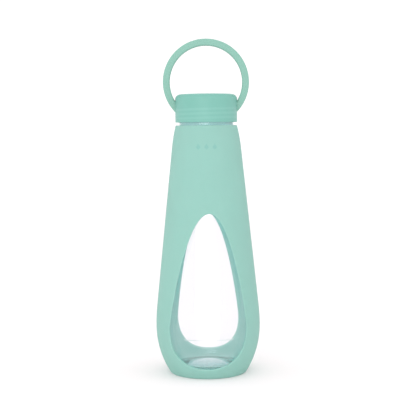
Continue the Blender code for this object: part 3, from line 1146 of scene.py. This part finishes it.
# painted light: the throat's and the base's frosted glass takes a mint tint that stands in for the
# mint light seen through the glass there
throatPaintedLightLook = {"tint": tone(178, 212, 212), "clear": 0.15, "clean": 0.35, "smudged": 0.45}
basePaintedLightLook = {"tint": tone(172, 200, 201), "clear": 0.3, "clean": 0.25, "smudged": 0.4}
glassLook = {
    "tint": (0.985, 0.984, 1.0, 1.0),
    "ior": 1.5,
    "clear": 0.972,
    "clean": 0.0,
    "smudged": 0.06,
    "ripple": 0.012 * mm,
    "seamHeight": 32.0 * mm,
    "seamWidth": 0.3 * mm,
    "seamRise": 1.3,
    "passes": (0.97, 0.98, 0.98, 1.0),
}


def glassMaterial(name, look):
    made, bench, shader = newMaterial(name)
    setSockets(shader, Base_Color=look["tint"], IOR=look["ior"], Transmission_Weight=look["clear"])
    marks = useGroup(bench, smudges, Clean=look["clean"], Smudged=look["smudged"])
    bench.feed(shader.inputs["Roughness"], marks["Roughness"])
    # a slow ripple, and the fine ring where the mould's base plate meets its sides
    ripple = bench.noise(bench.place(), 1 / grain["glassRipple"], 1.0, 0.4)
    away = bench.size(bench.minus(bench.axes()["Z"], look["seamHeight"]))
    seam = bench.times(bench.ease(away, 0.0, look["seamWidth"], 1.0, 0.0), look["seamRise"])
    addBump(bench, shader, bench.plus(ripple, seam), look["ripple"])
    passLight(made, bench, shader, look["passes"], 1.0)
    return made


sleeveLook = {
    "colour": tone(141, 184, 174),
    "mottle": 0.035,
    "stipple": 0.5 * mm,
    "roughness": 0.62,
    "spread": 0.08,
    "dust": 0.35,
    # the pale chalk on the lip and other edges is partly wear and partly a painted highlight
    "wearAndHighlight": 0.25,
    "chalkAndHighlight": tone(176, 214, 205),
    "gloss": 0.08,
    "milky": 0.25,
    "scatter": (0.8, 1.0, 0.95),
    "depth": 8 * mm,
    "passes": (0.75, 0.97, 0.98, 1.0),
    "share": 0.85,
    "bump": 0.05 * mm,
    "seamRise": 1.5,
    "dropHeight": 182 * mm,
    "dropSpacing": 6.4 * mm,
    "dropTone": 0.75,
    "dropShine": 0.12,
    "dropColour": tone(128, 176, 168),
}


def siliconeMaterial():
    look = sleeveLook
    made, bench, shader = newMaterial("mintSilicone")
    base = mouldedFinish(bench, look["colour"], look)
    rubbedAndLit = rubbedAndLitFinish(bench, base, look)
    seam = useGroup(bench, mouldSeam)["Mask"]
    drops = useGroup(
        bench, tonalDrops, Height=look["dropHeight"], Spacing=look["dropSpacing"]
    )["Mask"]
    toned = bench.blend(bench.times(drops, look["dropTone"]), rubbedAndLit["Colour"], look["dropColour"])
    shine = bench.times(drops, look["dropShine"])
    bench.feed(shader.inputs["Base Color"], toned)
    bench.feed(shader.inputs["Roughness"], bench.minus(rubbedAndLit["Roughness"], shine))
    relief = bench.plus(base["Height"], bench.times(seam, look["seamRise"]))
    addBump(bench, shader, relief, look["bump"])
    setMilky(shader, look)
    passLight(made, bench, shader, look["passes"], look["share"])
    return made


lidLook = {
    "colour": tone(121, 177, 165),
    "bandAndHighlightColour": tone(146, 194, 186),
    "bands": 0.22,
    "bandLow": 1.0 * mm,
    "bandHigh": 13 * mm,
    # the crown settings paint a highlight on the rounded rim of the top
    "crown": 0.6,
    "crownHighlightStart": 1.1 * mm,
    "crownHighlightFull": 0.3 * mm,
    "mottle": 0.03,
    "stipple": 0.3 * mm,
    "roughness": 0.36,
    "spread": 0.1,
    "dust": 0.15,
    # wear is set high so that the lid's rounded top edge also gets a painted highlight
    "wearAndHighlight": 0.5,
    "chalkAndHighlight": tone(170, 214, 203),
    "gloss": 0.15,
    "milky": 0.08,
    "scatter": (0.8, 1.0, 0.95),
    "depth": 4 * mm,
    "bump": 0.02 * mm,
    "passes": (0.6, 0.85, 0.82, 1.0),
    "share": 0.6,
}
ringLook = dict(
    lidLook, colour=tone(133, 179, 165), bands=0.0, roughness=0.42, share=0.0, wearAndHighlight=0.04
)
linerLook = dict(lidLook, colour=tone(168, 206, 196), bands=0.0, roughness=0.3, share=0.4)


def plasticMaterial(name, look):
    made, bench, shader = newMaterial(name)
    colour = look["colour"]
    if look["bands"]:
        bands = useGroup(
            bench,
            threadBand,
            Start=screwThread["start"],
            Pitch=screwThread["pitch"],
            Low=shellLow.z + look["bandLow"],
            High=shellLow.z + look["bandHigh"],
        )["Mask"]
        colour = bench.blend(bench.times(bands, look["bands"]), colour, look["bandAndHighlightColour"])
        # painted highlight: the rounded rim of the top is paler, in the bands' paler colour, as if
        # lit from above
        pale, palest = shellHigh.z - look["crownHighlightStart"], shellHigh.z - look["crownHighlightFull"]
        rim = bench.ease(bench.axes()["Z"], pale, palest, 0.0, look["crown"])
        colour = bench.blend(rim, colour, look["bandAndHighlightColour"])
    base = mouldedFinish(bench, colour, look)
    rubbedAndLit = rubbedAndLitFinish(bench, base, look)
    seam = useGroup(bench, mouldSeam)["Mask"]
    bench.feed(shader.inputs["Base Color"], rubbedAndLit["Colour"])
    bench.feed(shader.inputs["Roughness"], rubbedAndLit["Roughness"])
    addBump(bench, shader, bench.plus(base["Height"], seam), look["bump"])
    setMilky(shader, look)
    if look["share"]:
        passLight(made, bench, shader, look["passes"], look["share"])
    return made


sealLook = {
    "colour": tone(214, 226, 222),
    "mottle": 0.035,
    "stipple": 0.5 * mm,
    "roughness": 0.62,
    "spread": 0.08,
    "dust": 0.35,
    "gloss": 0.08,
    "bump": 0.05 * mm,
}


def sealMaterial():
    look = sealLook
    made, bench, shader = newMaterial("paleSeal")
    base = mouldedFinish(bench, look["colour"], look)
    bench.feed(shader.inputs["Base Color"], base["Colour"])
    bench.feed(shader.inputs["Roughness"], base["Roughness"])
    addBump(bench, shader, base["Height"], look["bump"])
    setSockets(shader, Specular_IOR_Level=look["gloss"])
    return made


glassBottle.data.materials.append(glassMaterial("clearGlass", glassLook))
glassBottle.data.materials.append(glassMaterial("frostedThroatPaintedLight", dict(glassLook, **throatPaintedLightLook)))
glassBottle.data.materials.append(glassMaterial("frostedBasePaintedLight", dict(glassLook, **basePaintedLightLook)))
siliconeSleeve.data.materials.append(siliconeMaterial())
for piece, name, look in (
    (lidShell, "mintLid", lidLook),
    (carryRing, "mintRing", ringLook),
    (lidLiner, "paleLiner", linerLook),
):
    piece.data.materials.append(plasticMaterial(name, look))
lidGasket.data.materials.append(sealMaterial())
print("materials made")

for piece in (glassBottle, siliconeSleeve):
    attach(piece, "bottle")
for piece in (lidShell, carryRing, lidLiner):
    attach(piece, "lid")
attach(lidGasket, "seal")
print("pieces ride on their bodies")
